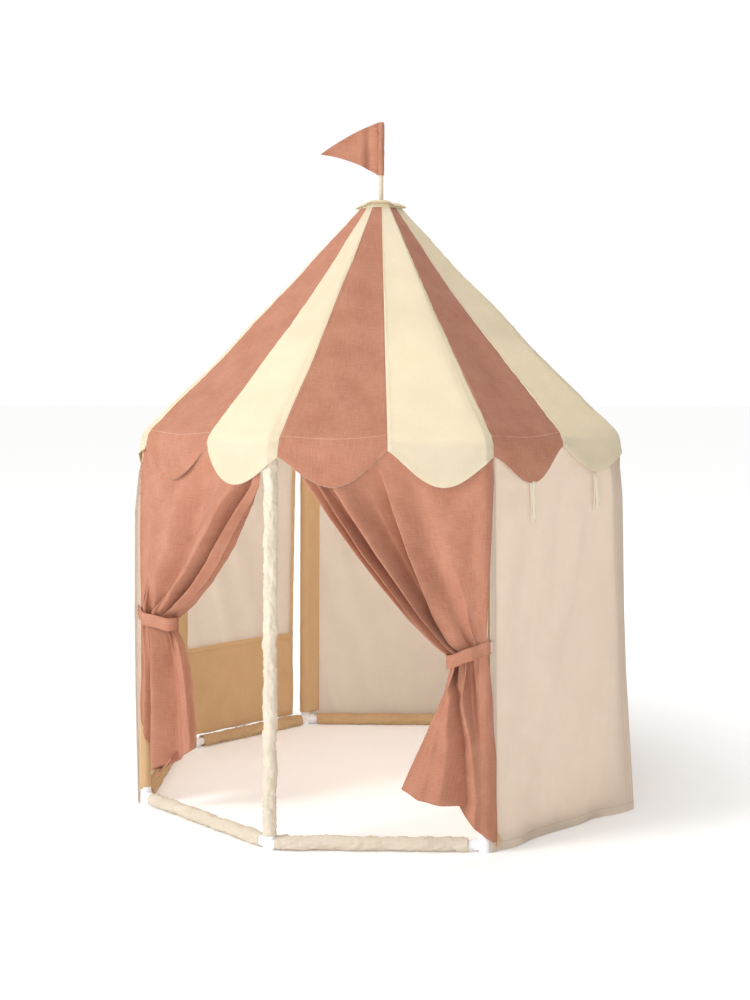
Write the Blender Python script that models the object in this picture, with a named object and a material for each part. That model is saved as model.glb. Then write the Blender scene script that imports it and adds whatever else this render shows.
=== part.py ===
"""Children's play pavilion: an eight-sided fabric tent on a tube frame, about 1.24 m across and 1.7 m tall.

Metres, +Z up, ground at z = 0. Corners run a to h counter-clockwise seen from above. Sides a-b and b-c are
the doorway, with b-c facing -Y, and the other six are walls.
"""
import math

import bmesh
import bpy
from mathutils import Vector

# Overall sizes
CORNERS = "abcdefgh"
FIRST_ANGLE = math.radians(-157.5)
STEP_ANGLE = math.radians(45.0)
BASE_RADIUS = 0.620
BASE_AXIS_Z = 0.016
RING_RADIUS = 0.613
RING_AXIS_Z = 0.900
GAP = 0.0003

# Frame tubes and sockets
TUBE_RADIUS = 0.010
TUBE_BORE = 0.0088
SOCKET_RADIUS = 0.0127
SOCKET_REACH = 0.026
SOCKET_STOP = 0.012
BORE_REACH = 0.050
HUB_HEIGHT = 0.031
RING_HUB_DROP = 0.030
RING_HUB_RISE = 0.0004
RING_SOCKET_STOP = 0.0155
ROUND = 20

# Sewn sleeves and panels
SLEEVE_RADIUS = 0.0155
SLEEVE_TOP_CUT = 0.0305
PANEL_INNER = 0.0130
PANEL_OUTER = 0.0155
PANEL_FOOT = -0.0150
PANEL_TOP_CUT = 0.0080
PANEL_OWN_EDGE = -0.0050
PANEL_FREE_EDGE = 0.0090

# Roof
CLOTH_THICK = 0.0025
CROWN_SLANT = 0.7
KNEE_SLANT = 0.4
SHOULDER_SLANT = 0.1
CROWN_RADIUS = 0.050
CROWN_Z = 1.487
KNEE_RADIUS = 0.6275
KNEE_Z = 0.910
SHOULDER_RADIUS = 0.6345
SHOULDER_Z = 0.896
VALANCE_RADIUS = 0.640
SCALLOP_Z = 0.803
MID_NOTCH_Z = 0.883
HIP_NOTCH_Z = 0.869
SCALLOP_ROUND = 1.4
SIDE_STEPS = 20
SEAM_SHIFT = 0.05
RAFTER_RADIUS = 0.0080
RAFTER_START = 0.0152
CROWN_HUB_RADIUS = 0.044
CROWN_HUB_LOW = CROWN_Z - 0.047
CROWN_HUB_TOP = CROWN_Z + 0.0015
CROWN_BORE_FLOOR = CROWN_Z - 0.035
RAFTER_END_RADIUS = 0.020
RAFTER_END_Z = CROWN_HUB_LOW + 0.022
RAFTER_SIDES = 16

# Cap over the crown, as (radius, height over the crown) points of its two faces, from the hole outward
# underneath and back inward on top
CAP_UNDER = [(0.0445, 0.0020), (0.0515, 0.0002), (0.0640, -0.0105)]
CAP_OVER = [(0.0655, -0.0087), (0.0525, 0.0025), (0.0450, 0.0045)]
CAP_HOLE_LOW = 0.0020
CAP_HOLE_HIGH = 0.0075
CAP_SIDES = 48

# Flag
FLAGPOLE_RADIUS = 0.0058
FLAGPOLE_SIDES = 16
FLAG_TOP = 1.708
FLAG_FOOT = 1.566
FLAG_TIP_Z = 1.624
FLAG_LENGTH = 0.156
FLAG_TOP_BOW = 0.007
FLAG_LOW_BOW = 0.010
FLAG_SLEEVE_RADIUS = 0.0088
FLAG_EDGE = 0.002
FLAGPOLE_TOP = FLAG_TOP - FLAG_EDGE

COLOURS = {
    "white_plastic": (0.80, 0.80, 0.82, 0.45),
    "terracotta_cloth": (0.53, 0.26, 0.17, 0.9),
    "cream_cloth": (0.83, 0.76, 0.62, 0.9),
    "beige_cloth": (0.68, 0.55, 0.42, 0.9),
    "tan_cloth": (0.62, 0.40, 0.22, 0.9),
    "cream_plastic": (0.80, 0.74, 0.60, 0.45),
}


def clear_scene():
    """Start from an empty scene."""
    for item in list(bpy.data.objects):
        bpy.data.objects.remove(item, do_unlink=True)


def material(slot):
    """The Principled material of one slot, made once."""
    found = bpy.data.materials.get(slot)
    if found:
        return found
    made = bpy.data.materials.new(slot)
    made.use_nodes = True
    shader = made.node_tree.nodes["Principled BSDF"]
    red, green, blue, rough = COLOURS[slot]
    shader.inputs["Base Color"].default_value = (red, green, blue, 1.0)
    shader.inputs["Roughness"].default_value = rough
    return made


def link(name, mesh, slot, smooth):
    """Put a finished mesh in the scene as a node with its material."""
    mesh.name = name
    mesh.materials.clear()
    mesh.materials.append(material(slot))
    for face in mesh.polygons:
        face.use_smooth = smooth
        face.material_index = 0
    if smooth:
        mesh.set_sharp_from_angle(angle=math.radians(40))
    made = bpy.data.objects.new(name, mesh)
    bpy.context.scene.collection.objects.link(made)
    return made


def solid(verts, faces):
    """A mesh from points and faces, with every face turned outward."""
    mesh = bpy.data.meshes.new("work")
    mesh.from_pydata([tuple(v) for v in verts], [], [tuple(f) for f in faces])
    work = bmesh.new()
    work.from_mesh(mesh)
    bmesh.ops.recalc_face_normals(work, faces=work.faces)
    work.to_mesh(mesh)
    work.free()
    mesh.validate()
    mesh.update()
    return mesh


def merged(meshes):
    """Several meshes in one, each still a body of its own."""
    verts = []
    faces = []
    for mesh in meshes:
        start = len(verts)
        verts.extend([tuple(v.co) for v in mesh.vertices])
        faces.extend([tuple(start + i for i in p.vertices) for p in mesh.polygons])
    return solid(verts, faces)


def combined(base, other, operation):
    """The exact union or difference of two meshes."""
    first = bpy.data.objects.new("first", base)
    second = bpy.data.objects.new("second", other)
    for item in (first, second):
        bpy.context.scene.collection.objects.link(item)
    change = first.modifiers.new("change", "BOOLEAN")
    change.operation = operation
    change.solver = "EXACT"
    change.object = second
    bpy.context.view_layer.update()
    graph = bpy.context.evaluated_depsgraph_get()
    result = bpy.data.meshes.new_from_object(first.evaluated_get(graph))
    for item in (first, second):
        bpy.data.objects.remove(item, do_unlink=True)
    work = bmesh.new()
    work.from_mesh(result)
    bmesh.ops.remove_doubles(work, verts=work.verts, dist=0.000002)
    bmesh.ops.dissolve_degenerate(work, edges=work.edges, dist=0.000002)
    bmesh.ops.triangulate(work, faces=[f for f in work.faces if len(f.verts) > 4])
    bmesh.ops.recalc_face_normals(work, faces=work.faces)
    work.to_mesh(result)
    work.free()
    result.update()
    return result


def across(axis):
    """Two unit directions square to an axis."""
    axis = Vector(axis).normalized()
    helper = Vector((0.0, 0.0, 1.0))
    if abs(axis.z) > 0.9:
        helper = Vector((1.0, 0.0, 0.0))
    one = axis.cross(helper).normalized()
    two = axis.cross(one).normalized()
    return one, two


def circle(centre, axis, radius, sides):
    """Points of a circle round an axis."""
    one, two = across(axis)
    points = []
    for step in range(sides):
        turn = 2.0 * math.pi * (step + 0.5) / sides
        points.append(Vector(centre) + one * radius * math.cos(turn) + two * radius * math.sin(turn))
    return points


def rod(start, end, radius, sides=ROUND):
    """A plain round bar between two points."""
    axis = Vector(end) - Vector(start)
    verts = circle(start, axis, radius, sides) + circle(end, axis, radius, sides)
    faces = [tuple(range(sides)), tuple(range(sides, 2 * sides))]
    for i in range(sides):
        j = (i + 1) % sides
        faces.append((i, j, sides + j, sides + i))
    return solid(verts, faces)


def pipe(start, end, radius, bore, sides=ROUND):
    """A hollow tube between two points, open at both ends."""
    axis = Vector(end) - Vector(start)
    verts = circle(start, axis, radius, sides) + circle(end, axis, radius, sides)
    verts += circle(start, axis, bore, sides) + circle(end, axis, bore, sides)
    faces = []
    for i in range(sides):
        j = (i + 1) % sides
        faces.append((i, j, sides + j, sides + i))
        faces.append((2 * sides + i, 2 * sides + j, 3 * sides + j, 3 * sides + i))
        faces.append((i, j, 2 * sides + j, 2 * sides + i))
        faces.append((sides + i, sides + j, 3 * sides + j, 3 * sides + i))
    return solid(verts, faces)


def corner(index, radius, height):
    """The point over corner number index of the octagon."""
    turn = FIRST_ANGLE + STEP_ANGLE * index
    return Vector((radius * math.cos(turn), radius * math.sin(turn), height))


class Side:
    """Local frame of one side: u along it from its first corner, v up the wall, w outward."""

    def __init__(self, index):
        self.low = [corner(index, BASE_RADIUS, BASE_AXIS_Z), corner(index + 1, BASE_RADIUS, BASE_AXIS_Z)]
        self.top = [corner(index, RING_RADIUS, RING_AXIS_Z), corner(index + 1, RING_RADIUS, RING_AXIS_Z)]
        self.origin = (self.low[0] + self.low[1]) / 2.0
        self.along = (self.low[1] - self.low[0]).normalized()
        rise = (self.top[0] + self.top[1]) / 2.0 - self.origin
        self.height = rise.length
        self.up = rise.normalized()
        self.out = self.along.cross(self.up)
        self.half_low = (self.low[1] - self.low[0]).length / 2.0
        self.half_top = (self.top[1] - self.top[0]).length / 2.0

    def half(self, v):
        """Half the distance between the two pole axes at height v."""
        return self.half_low + (self.half_top - self.half_low) * v / self.height

    def point(self, u, v, w=0.0):
        return self.origin + self.along * u + self.up * v + self.out * w


def plate(side, outline, inner, outer):
    """A flat panel in the plane of a side, between two distances out from the tube axes."""
    count = len(outline)
    verts = [side.point(u, v, inner) for u, v in outline]
    verts += [side.point(u, v, outer) for u, v in outline]
    faces = [tuple(range(count)), tuple(range(count, 2 * count))]
    for i in range(count):
        j = (i + 1) % count
        faces.append((i, j, count + j, count + i))
    return solid(verts, faces)


def pole_ends(index):
    """The two ends of a corner's pole axis, on the bottom tubes' axes and the ring's, and its direction."""
    low = corner(index, BASE_RADIUS, BASE_AXIS_Z)
    top = corner(index, RING_RADIUS, RING_AXIS_Z)
    return low, top, (top - low).normalized()


def base_connector(index):
    """A three-way corner foot with a flat underside and three blind sockets."""
    low, _, rise = pole_ends(index)
    before = (corner(index - 1, BASE_RADIUS, BASE_AXIS_Z) - low).normalized()
    after = (corner(index + 1, BASE_RADIUS, BASE_AXIS_Z) - low).normalized()
    hub = rod(Vector((low.x, low.y, 0.0)), Vector((low.x, low.y, HUB_HEIGHT)), SOCKET_RADIUS, ROUND)
    for direction in (before, after, rise):
        arm = rod(low, low + direction * SOCKET_REACH, SOCKET_RADIUS, ROUND)
        hub = combined(hub, arm, "UNION")
    for direction in (before, after, rise):
        bore = rod(low + direction * SOCKET_STOP, low + direction * BORE_REACH, TUBE_RADIUS + GAP, ROUND)
        hub = combined(hub, bore, "DIFFERENCE")
    return hub


def base_tube(index):
    """A bottom tube between two corner feet."""
    side = Side(index)
    inset = SOCKET_STOP + GAP
    start = side.low[0] + side.along * inset
    end = side.low[1] - side.along * inset
    return pipe(start, end, TUBE_RADIUS, TUBE_BORE)


def pole(index):
    """A leaning upright from its foot into the ring socket."""
    low, top, rise = pole_ends(index)
    return pipe(low + rise * (SOCKET_STOP + GAP), top - rise * RING_SOCKET_STOP, TUBE_RADIUS, TUBE_BORE)


def eave_ring():
    """The top octagon of tube with a socket over each pole."""
    verts = []
    for index in range(8):
        turn = FIRST_ANGLE + STEP_ANGLE * index
        radial = Vector((math.cos(turn), math.sin(turn), 0.0)) / math.cos(STEP_ANGLE / 2.0)
        centre = corner(index, RING_RADIUS, RING_AXIS_Z)
        for step in range(ROUND):
            spin = 2.0 * math.pi * (step + 0.5) / ROUND
            flat = radial * TUBE_RADIUS * math.cos(spin)
            verts.append(centre + flat + Vector((0.0, 0.0, TUBE_RADIUS * math.sin(spin))))
    faces = []
    for index in range(8):
        after = (index + 1) % 8
        for step in range(ROUND):
            near = (step + 1) % ROUND
            here = index * ROUND
            there = after * ROUND
            faces.append((here + step, here + near, there + near, there + step))
    ring = solid(verts, faces)
    hubs = []
    bores = []
    for index in range(8):
        _, top, rise = pole_ends(index)
        hubs.append(rod(top - rise * RING_HUB_DROP, top + rise * RING_HUB_RISE, SOCKET_RADIUS, ROUND))
        stop = top - rise * (RING_SOCKET_STOP - GAP)
        bores.append(rod(top - rise * BORE_REACH, stop, TUBE_RADIUS + GAP, ROUND))
    ring = combined(ring, merged(hubs), "UNION")
    return combined(ring, merged(bores), "DIFFERENCE")


def roof_frame():
    """Eight rafters meeting in a round crown hub with a socket for the flagpole."""
    hub = rod((0.0, 0.0, CROWN_HUB_LOW), (0.0, 0.0, CROWN_HUB_TOP), CROWN_HUB_RADIUS, 32)
    for index in range(8):
        start = corner(index, RING_RADIUS, RING_AXIS_Z)
        end = corner(index, RAFTER_END_RADIUS, RAFTER_END_Z)
        along = (end - start).normalized()
        hub = combined(hub, rod(start + along * RAFTER_START, end, RAFTER_RADIUS, RAFTER_SIDES), "UNION")
    above = CROWN_HUB_TOP + TUBE_RADIUS
    bore = rod((0.0, 0.0, CROWN_BORE_FLOOR), (0.0, 0.0, above), FLAGPOLE_RADIUS + GAP, ROUND)
    return combined(hub, bore, "DIFFERENCE")


def eave_walk():
    """Unit points round the octagon, at even steps along each side, with the scallop height at each.

    A scallop spans half a side. Its edge falls from a notch to SCALLOP_Z and back as a half sine wave raised
    to SCALLOP_ROUND, which leaves the notches pointed. The whole pattern sits a little past the corners,
    because the roof cloth lies slightly turned on its frame.
    """
    points = []
    heights = []
    for side in range(8):
        start = corner(side, 1.0, 0.0)
        end = corner(side + 1, 1.0, 0.0)
        for step in range(SIDE_STEPS):
            share = step / SIDE_STEPS
            points.append(start.lerp(end, share))
            place = 2.0 * (share - SEAM_SHIFT) % 2.0
            within = place % 1.0
            left, right = (HIP_NOTCH_Z, MID_NOTCH_Z) if place < 1.0 else (MID_NOTCH_Z, HIP_NOTCH_Z)
            notch = left + (right - left) * within
            bulge = math.sin(math.pi * within) ** SCALLOP_ROUND
            heights.append(notch + (SCALLOP_Z - notch) * bulge)
    return points, heights


def canopy():
    """The roof cloth: straight gores from the crown to the knee, a turned-down eave and a scalloped edge."""
    points, heights = eave_walk()
    count = len(points)
    rows = []
    for inset in (0.0, CLOTH_THICK):
        profile = [(CROWN_RADIUS - CROWN_SLANT * inset, CROWN_Z - CROWN_SLANT * inset)]
        profile.append((KNEE_RADIUS - inset, KNEE_Z - KNEE_SLANT * inset))
        profile.append((SHOULDER_RADIUS - inset, SHOULDER_Z - SHOULDER_SLANT * inset))
        for radius, height in profile:
            rows.append([(radius * p.x, radius * p.y, height) for p in points])
        low = VALANCE_RADIUS - inset
        rows.append([(low * p.x, low * p.y, z) for p, z in zip(points, heights)])
    verts = [p for row in rows for p in row]
    bands = [(0, 1), (1, 2), (2, 3), (4, 5), (5, 6), (6, 7), (0, 4), (3, 7)]
    faces = []
    for one, two in bands:
        for i in range(count):
            j = (i + 1) % count
            faces.append((one * count + i, one * count + j, two * count + j, two * count + i))
    return solid(verts, faces)


def lathe(profile, sides):
    """A closed ring-shaped body turned from a closed profile of (radius, height) points."""
    verts = []
    for step in range(sides):
        turn = FIRST_ANGLE + 2.0 * math.pi * step / sides
        for radius, height in profile:
            verts.append((radius * math.cos(turn), radius * math.sin(turn), height))
    count = len(profile)
    faces = []
    for step in range(sides):
        after = (step + 1) % sides
        for i in range(count):
            j = (i + 1) % count
            faces.append((step * count + i, step * count + j, after * count + j, after * count + i))
    return solid(verts, faces)


def roof_cap():
    """The small round collar over the crown, with a hole for the flagpole."""
    hole = FLAGPOLE_RADIUS + GAP
    profile = [(hole, CAP_HOLE_LOW)] + CAP_UNDER + CAP_OVER + [(hole, CAP_HOLE_HIGH)]
    return lathe([(radius, CROWN_Z + rise) for radius, rise in profile], CAP_SIDES)


def flag():
    """A long three-cornered pennant, both edges bowed upward, sewn to a sleeve over the flagpole."""
    sleeve = pipe((0, 0, FLAG_FOOT), (0, 0, FLAG_TOP), FLAG_SLEEVE_RADIUS, FLAGPOLE_RADIUS + GAP)
    half = CLOTH_THICK / 2.0
    near = -0.5 * (FLAG_SLEEVE_RADIUS + FLAGPOLE_RADIUS + GAP)
    tip = near - FLAG_LENGTH
    middle = near - 0.5 * FLAG_LENGTH
    low_middle = 0.5 * (FLAG_FOOT + FLAG_TIP_Z) + FLAG_LOW_BOW
    top_middle = 0.5 * (FLAG_TOP + FLAG_TIP_Z) + FLAG_TOP_BOW
    outline = [(near, FLAG_TOP - FLAG_EDGE), (near, FLAG_FOOT + FLAG_EDGE), (middle, low_middle)]
    outline += [(tip, FLAG_TIP_Z - FLAG_EDGE), (tip, FLAG_TIP_Z + FLAG_EDGE), (middle, top_middle)]
    count = len(outline)
    verts = [(x, -half, z) for x, z in outline] + [(x, half, z) for x, z in outline]
    faces = [(0, 1, 2, 5), (2, 3, 4, 5), (6, 7, 8, 11), (8, 9, 10, 11)]
    faces += [(i, (i + 1) % count, count + (i + 1) % count, count + i) for i in range(count)]
    return combined(sleeve, solid(verts, faces), "UNION")


def base_sleeve(index):
    """The cloth channel round a bottom tube."""
    side = Side(index)
    inset = SOCKET_REACH + GAP
    start = side.low[0] + side.along * inset
    end = side.low[1] - side.along * inset
    return pipe(start, end, SLEEVE_RADIUS, TUBE_RADIUS + GAP)


def pole_sleeve(index):
    """The cloth channel round an upright."""
    low, top, rise = pole_ends(index)
    start = low + rise * (SOCKET_REACH + GAP)
    return pipe(start, top - rise * SLEEVE_TOP_CUT, SLEEVE_RADIUS, TUBE_RADIUS + GAP)


def wall(index, sleeves):
    """A flat wall panel outside the tubes, sewn to its bottom channel and to the pole channels in sleeves
    (0 for the side's first corner, 1 for its second)."""
    side = Side(index)
    edge = [PANEL_OWN_EDGE if end in sleeves else PANEL_FREE_EDGE for end in (0, 1)]
    high = side.height - PANEL_TOP_CUT
    outline = [(-side.half(PANEL_FOOT) + edge[0], PANEL_FOOT), (side.half(PANEL_FOOT) - edge[1], PANEL_FOOT)]
    outline += [(side.half(high) - edge[1], high), (-side.half(high) + edge[0], high)]
    panel = plate(side, outline, PANEL_INNER, PANEL_OUTER)
    panel = combined(panel, base_sleeve(index), "UNION")
    for end in sleeves:
        panel = combined(panel, pole_sleeve(index + end), "UNION")
    return panel


# Curtain rows from the bottom up: height, distance of the free edge from the pole axis, and the depth of
# the gathered cloth behind and in front of the tube axes at that edge
CURTAIN_NEAR = 0.0160
CURTAIN_NEAR_INNER = 0.0060
CURTAIN_NEAR_OUTER = 0.0155
CURTAIN_ROUND = 0.012
CURTAIN_ROUND_SHARE = 0.4
CURTAIN_BEVEL = 0.3
CURTAIN_RIGHT_ROWS = [
    (0.017, 0.030, 0.004, 0.016),
    (0.070, 0.060, 0.002, 0.018),
    (0.085, 0.105, 0.000, 0.020),
    (0.100, 0.146, -0.002, 0.022),
    (0.121, 0.183, -0.003, 0.024),
    (0.232, 0.133, -0.004, 0.028),
    (0.335, 0.085, -0.004, 0.031),
    (0.384, 0.076, -0.004, 0.033),
    (0.418, 0.076, -0.004, 0.033),
    (0.437, 0.108, -0.004, 0.031),
    (0.569, 0.229, -0.003, 0.025),
    (0.732, 0.349, 0.000, 0.019),
    (0.813, 0.403, 0.008, 0.017),
    (0.872, 0.440, 0.0125, 0.0155),
]
CURTAIN_LEFT_ROWS = [
    (0.076, 0.060, 0.002, 0.018),
    (0.079, 0.140, 0.000, 0.022),
    (0.150, 0.180, -0.003, 0.024),
    (0.225, 0.171, -0.004, 0.027),
    (0.341, 0.148, -0.004, 0.031),
    (0.410, 0.112, -0.004, 0.033),
    (0.450, 0.112, -0.004, 0.033),
    (0.497, 0.173, -0.004, 0.030),
    (0.599, 0.270, -0.003, 0.025),
    (0.723, 0.372, 0.000, 0.019),
    (0.813, 0.446, 0.008, 0.017),
    (0.872, 0.454, 0.0125, 0.0155),
]
TIE_WIDTH = 0.030
TIE_THICK = 0.0020
TIE_REST = 2.0 * GAP
TIE_RIGHT = (0.401, 0.076)
TIE_LEFT = (0.430, 0.112)
WAIST_DEPTH = (-0.004, 0.033)

# How far the band stands off each point of the curtain's outline, as shares along the side and outward,
# in the order of the points of curtain_section
TIE_SPREAD = [(0.0, 1.0), (0.0, 1.0), (0.6, 0.8), (1.0, 0.0), (0.6, -0.8), (0.0, -1.0), (0.0, -1.0)]


def curtain_section(far, inner, outer):
    """The outline of a gathered curtain seen from above: thin at the pole, rounded at the free edge."""
    round_end = min(CURTAIN_ROUND, CURTAIN_ROUND_SHARE * (far - CURTAIN_NEAR))
    middle = 0.5 * (inner + outer)
    bevel = far - CURTAIN_BEVEL * round_end
    front = [(CURTAIN_NEAR, CURTAIN_NEAR_OUTER), (far - round_end, outer), (bevel, 0.5 * (outer + middle))]
    back = [(bevel, 0.5 * (inner + middle)), (far - round_end, inner), (CURTAIN_NEAR, CURTAIN_NEAR_INNER)]
    return front + [(far, middle)] + back


def placed(side, outline, v, mirrored):
    """An outline of (distance from the pole axis, depth) points as positions at height v."""
    turned = -1.0 if mirrored else 1.0
    return [side.point(turned * (side.half(v) - reach), v, w) for reach, w in outline]


def loft(rows):
    """A closed body through rings of points of the same count."""
    count = len(rows[0])
    verts = [p for row in rows for p in row]
    last = len(verts) - count
    faces = [tuple(range(count)), tuple(range(last, last + count))]
    for row in range(len(rows) - 1):
        for i in range(count):
            j = (i + 1) % count
            start = row * count
            faces.append((start + i, start + j, start + count + j, start + count + i))
    return solid(verts, faces)


def curtain(side, rows, mirrored):
    """A doorway curtain tied back to the pole of one corner."""
    rings = []
    for v, far, inner, outer in rows:
        rings.append(placed(side, curtain_section(far, inner, outer), v, mirrored))
    return loft(rings)


def tieback(side, waist, mirrored):
    """A flat band round the waist of a curtain, from over the pole channel to just behind it."""
    v, far = waist
    ring = curtain_section(far, *WAIST_DEPTH)
    inside = [(0.0, PANEL_OUTER + TIE_REST)]
    outside = [(0.0, PANEL_OUTER + TIE_REST + TIE_THICK)]
    for (reach, w), (slide, spread) in zip(ring, TIE_SPREAD):
        inside.append((reach + TIE_REST * slide, w + TIE_REST * spread))
        outside.append((reach + (TIE_REST + TIE_THICK) * slide, w + (TIE_REST + TIE_THICK) * spread))
    count = len(inside)
    verts = []
    for level in (v - TIE_WIDTH / 2.0, v + TIE_WIDTH / 2.0):
        verts += placed(side, inside, level, mirrored) + placed(side, outside, level, mirrored)
    faces = []
    for i in range(count - 1):
        for level in (0, 2 * count):
            faces.append((level + i, level + i + 1, level + count + i + 1, level + count + i))
        for start in (0, count):
            faces.append((start + i, start + i + 1, 2 * count + start + i + 1, 2 * count + start + i))
    for end in (0, count - 1):
        faces.append((end, count + end, 3 * count + end, 2 * count + end))
    return solid(verts, faces)


def build():
    clear_scene()
    for index, name in enumerate(CORNERS):
        link("base_connector_" + name, base_connector(index), "white_plastic", True)
        link("pole_" + name, pole(index), "white_plastic", True)
    for index, name in enumerate(CORNERS):
        after = CORNERS[(index + 1) % 8]
        link("base_tube_" + name + after, base_tube(index), "white_plastic", True)
    link("eave_ring", eave_ring(), "white_plastic", True)
    link("roof_frame", roof_frame(), "white_plastic", True)
    pole_foot = (0.0, 0.0, CROWN_BORE_FLOOR + GAP)
    staff = rod(pole_foot, (0.0, 0.0, FLAGPOLE_TOP), FLAGPOLE_RADIUS, FLAGPOLE_SIDES)
    link("flagpole", staff, "cream_plastic", True)
    link("roof_canopy", canopy(), "terracotta_cloth", False)
    link("roof_cap", roof_cap(), "cream_cloth", True)
    link("flag", flag(), "terracotta_cloth", True)
    link("base_sleeve_ab", base_sleeve(0), "cream_cloth", True)
    link("base_sleeve_bc", base_sleeve(1), "cream_cloth", True)
    link("pole_sleeve_b", pole_sleeve(1), "cream_cloth", True)
    for index, sleeves in ((2, (0, 1)), (3, (1,)), (4, (1,)), (5, (1,)), (6, (1,)), (7, (1,))):
        name = CORNERS[index] + CORNERS[(index + 1) % 8]
        slot = "tan_cloth" if name == "gh" else "beige_cloth"
        link("wall_" + name, wall(index, sleeves), slot, True)
    link("curtain_right", curtain(Side(1), CURTAIN_RIGHT_ROWS, False), "terracotta_cloth", False)
    link("curtain_left", curtain(Side(0), CURTAIN_LEFT_ROWS, True), "terracotta_cloth", False)
    link("tieback_right", tieback(Side(1), TIE_RIGHT, False), "terracotta_cloth", True)
    link("tieback_left", tieback(Side(0), TIE_LEFT, True), "terracotta_cloth", True)


build()
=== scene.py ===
"""Looks of a children's fabric pavilion on a white tube frame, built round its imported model.

Metres, +Z up, ground at z = 0. The eight corners run A to H counter-clockwise seen from above, sides AB and BC
are the doorway with BC facing -Y, and the other six sides are walls. Every cloth is a grid of points worked out
from formulas, with a UV map in metres of cloth, weft across and warp down.
"""
import math

import bpy
import numpy as np
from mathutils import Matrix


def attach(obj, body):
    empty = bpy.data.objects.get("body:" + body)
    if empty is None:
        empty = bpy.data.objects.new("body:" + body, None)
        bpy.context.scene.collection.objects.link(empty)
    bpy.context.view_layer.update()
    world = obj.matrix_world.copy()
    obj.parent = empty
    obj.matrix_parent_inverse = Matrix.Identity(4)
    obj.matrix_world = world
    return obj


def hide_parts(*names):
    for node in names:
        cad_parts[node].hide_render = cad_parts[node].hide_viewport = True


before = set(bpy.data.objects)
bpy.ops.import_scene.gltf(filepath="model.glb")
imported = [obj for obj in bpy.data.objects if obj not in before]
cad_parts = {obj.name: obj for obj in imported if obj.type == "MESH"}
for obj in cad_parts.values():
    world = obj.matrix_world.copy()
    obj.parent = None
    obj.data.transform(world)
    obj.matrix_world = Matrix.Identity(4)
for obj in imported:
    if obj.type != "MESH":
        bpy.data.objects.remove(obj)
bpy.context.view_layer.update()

BODY = "root"

# The frame the cloth hangs on
CORNERS = "abcdefgh"
FIRST_ANGLE = math.radians(-157.5)
STEP_ANGLE = math.radians(45.0)
BASE_RADIUS = 0.620
BASE_AXIS_Z = 0.016
RING_RADIUS = 0.613
RING_AXIS_Z = 0.900
FLOOR_CLEAR = 0.0006

# Cloth thicknesses
CANVAS = 0.0008
BINDING = 0.0014


# The octagon


def corner(index, radius, height):
    """The point over corner number index of the octagon, at a radius and a height."""
    turn = FIRST_ANGLE + STEP_ANGLE * index
    return np.array([radius * math.cos(turn), radius * math.sin(turn), height])


def unit(vector):
    """Vectors along the last axis, each at length one."""
    return vector / np.linalg.norm(vector, axis=-1, keepdims=True)


class Side:
    """Axes of one side: u along it from its middle, v up the wall, w outward from the tube axes."""

    def __init__(self, index):
        low = [corner(index + end, BASE_RADIUS, BASE_AXIS_Z) for end in (0, 1)]
        top = [corner(index + end, RING_RADIUS, RING_AXIS_Z) for end in (0, 1)]
        self.origin = (low[0] + low[1]) / 2.0
        self.along = unit(low[1] - low[0])
        rise = (top[0] + top[1]) / 2.0 - self.origin
        self.height = np.linalg.norm(rise)
        self.up = unit(rise)
        self.out = np.cross(self.along, self.up)
        self.half_low = np.linalg.norm(low[1] - low[0]) / 2.0
        self.half_top = np.linalg.norm(top[1] - top[0]) / 2.0

    def half(self, v):
        """Half the distance between the two pole axes at height v."""
        return self.half_low + (self.half_top - self.half_low) * v / self.height


SIDES = [Side(index) for index in range(8)]
ROUND_CORNER = 0.0172
CORNER_TURN = math.pi / 4.0
CORNER_ARC = ROUND_CORNER * CORNER_TURN


def on_side(index, u, v, w):
    """Points of side number index. Past a pole axis the surface turns round the pole, at its distance w, on an
    arc measured at radius ROUND_CORNER, and then slides on along the next side."""
    side = SIDES[index % 8]
    u, v, w = np.broadcast_arrays(u, v, w)
    half = side.half(v)
    past = np.abs(u) - half
    turn = np.clip(past / ROUND_CORNER, 0.0, CORNER_TURN)
    slide = np.maximum(past - CORNER_ARC, 0.0)
    second = (u >= 0.0)[..., None]
    before, after = SIDES[(index - 1) % 8], SIDES[(index + 1) % 8]
    next_out = np.where(second, after.out, before.out)
    next_along = np.where(second, after.along, -before.along)
    own, other = np.sin(CORNER_TURN - turn)[..., None], np.sin(turn)[..., None]
    normal = (own * side.out + other * next_out) / math.sin(CORNER_TURN)
    flat = side.origin + np.clip(u, -half, half)[..., None] * side.along + v[..., None] * side.up
    return flat + w[..., None] * normal + slide[..., None] * next_along


# Small shapes of numbers


def smooth(low, high, x):
    """A smooth step from 0 at low to 1 at high, which may be the lower of the two."""
    t = np.clip((x - low) / (high - low), 0.0, 1.0)
    return t * t * (3.0 - 2.0 * t)


def bump(x, centre, width):
    """A soft hump one high round a centre."""
    return np.exp(-(((x - centre) / width) ** 2))


def waves(seed, length, *places, count=9):
    """Soft uneven waves about one high: a sum of count sine waves of about the given length over two or three
    coordinates, each in a direction and phase drawn from the seed."""
    draw = np.random.default_rng(seed)
    total = 0.0
    for _ in range(count):
        heading = unit(draw.normal(size=len(places)))
        pitch = 2.0 * math.pi / (length * draw.uniform(0.7, 1.5))
        travel = sum(share * place for share, place in zip(heading, places))
        total = total + np.sin(pitch * travel + draw.uniform(0.0, 2.0 * math.pi))
    return total / math.sqrt(count)


def creases(seed, length, *places, sharp=0.3):
    """Thin lines, one high, where soft waves pass through zero."""
    return np.exp(-((waves(seed, length, *places) / sharp) ** 2))


def ticks(length, pitch, hem):
    """Places from 0 to length about pitch apart, with close lines where the edge of a hem lies at both ends."""
    near = np.array([0.0, 0.10, 0.45, 0.80, 0.92]) * hem
    inner = np.linspace(hem, length - hem, max(3, int(round((length - 2.0 * hem) / pitch)) + 1))
    return np.concatenate([near, inner, (length - near)[::-1]])


# Meshes


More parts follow.
